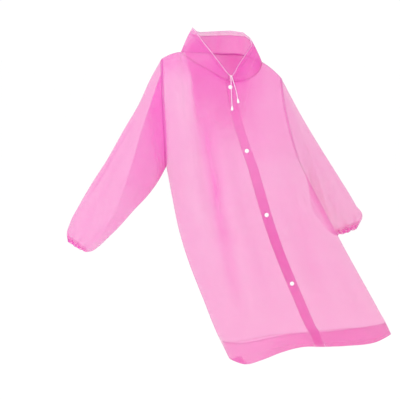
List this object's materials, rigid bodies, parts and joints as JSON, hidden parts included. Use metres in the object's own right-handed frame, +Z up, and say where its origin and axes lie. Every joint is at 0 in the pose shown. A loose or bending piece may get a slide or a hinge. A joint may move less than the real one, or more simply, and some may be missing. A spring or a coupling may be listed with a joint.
{
  "type": "clear raincoat",
  "caption": "Clear film raincoat with a tall open drawstring collar, a snap front lap, long sleeves with gathered elastic cuffs and a turned-up hem, filled out as worn with no wearer.",
  "frame": {"origin": "middle of the neck opening, at the height where the collar is sewn on", "axes": "+Z up, -Y to the coat's front, -X to the wearer's right and +X to the wearer's left"},
  "size_m": [1.1741, 0.3553, 1.2163],
  "materials": {
    "clear_pink_film": "clear tinted film with a soft sheen",
    "pink_elastic": "matte elastic tape in the film's colour",
    "white_cord": "plain round cord",
    "white_plastic": "plain moulded plastic"
  },
  "bodies": {
    "root": {"back": "clear_pink_film", "front_right": "clear_pink_film", "front_left": "clear_pink_film", "facing_right": "clear_pink_film", "facing_left": "clear_pink_film", "hem_right": "clear_pink_film", "hem_left": "clear_pink_film", "hem_back": "clear_pink_film", "sleeve_right_front": "clear_pink_film", "sleeve_right_back": "clear_pink_film", "sleeve_left_front": "clear_pink_film", "sleeve_left_back": "clear_pink_film", "elastic_right": "pink_elastic", "elastic_left": "pink_elastic", "collar": "clear_pink_film", "collar_casing": "clear_pink_film", "drawstring": "white_cord", "cord_end_right": "white_cord", "cord_end_left": "white_cord", "bead_right": "white_plastic", "bead_left": "white_plastic", "snap_cap_1": "white_plastic", "snap_cap_2": "white_plastic", "snap_cap_3": "white_plastic", "snap_cap_4": "white_plastic", "snap_back_1": "white_plastic", "snap_back_2": "white_plastic", "snap_back_3": "white_plastic", "snap_back_4": "white_plastic"}
  },
  "joints": []
}
